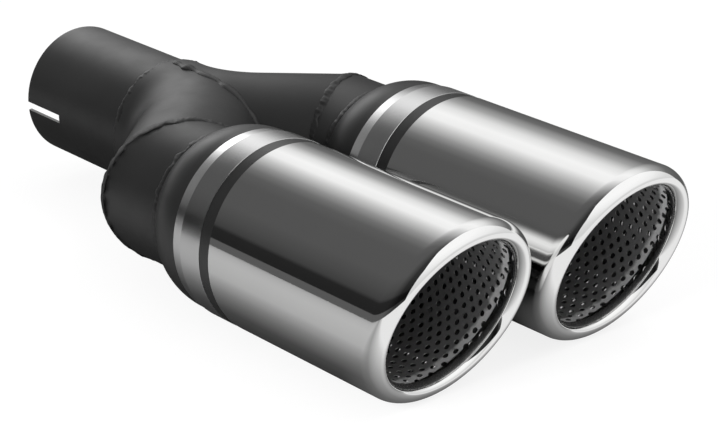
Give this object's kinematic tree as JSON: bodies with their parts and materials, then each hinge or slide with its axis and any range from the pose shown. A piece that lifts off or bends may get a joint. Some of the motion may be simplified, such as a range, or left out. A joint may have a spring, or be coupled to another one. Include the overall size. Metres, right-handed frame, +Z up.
{
  "type": "twin exhaust tip",
  "caption": "Welded exhaust tip: slotted inlet tube, forked bent pipes, black spun caps, silver bands and polished sleeves with slanted rolled mouths and perforated liners.",
  "frame": {"origin": "centre of the inlet tube's open end, on its axis", "axes": "+Y along the inlet's axis, out of its open end, so the two tips point along -Y; +Z up with the tips side by side along X"},
  "size_m": [0.168, 0.3218, 0.08],
  "materials": {
    "pipe_black": "satin black coat",
    "weld_black": "satin black coat over a weld bead",
    "cap_black": "satin black coat",
    "ring_black": "satin black coat",
    "band_silver": "fine brushed",
    "sleeve_polished": "mirror polish",
    "liner_steel": "dark satin steel"
  },
  "bodies": {
    "root": {"inlet_pipe": "pipe_black", "inlet_weld": "weld_black", "centre_weld": "weld_black", "left_branch_pipe": "pipe_black", "left_mitre_weld": "weld_black", "left_outlet_pipe": "pipe_black", "left_cap_weld": "weld_black", "left_rear_cap": "cap_black", "left_trim_band": "band_silver", "left_black_ring": "ring_black", "left_outer_sleeve": "sleeve_polished", "left_liner_ring": "liner_steel", "left_perforated_liner": "liner_steel", "right_branch_pipe": "pipe_black", "right_mitre_weld": "weld_black", "right_outlet_pipe": "pipe_black", "right_cap_weld": "weld_black", "right_rear_cap": "cap_black", "right_trim_band": "band_silver", "right_black_ring": "ring_black", "right_outer_sleeve": "sleeve_polished", "right_liner_ring": "liner_steel", "right_perforated_liner": "liner_steel"}
  },
  "joints": []
}
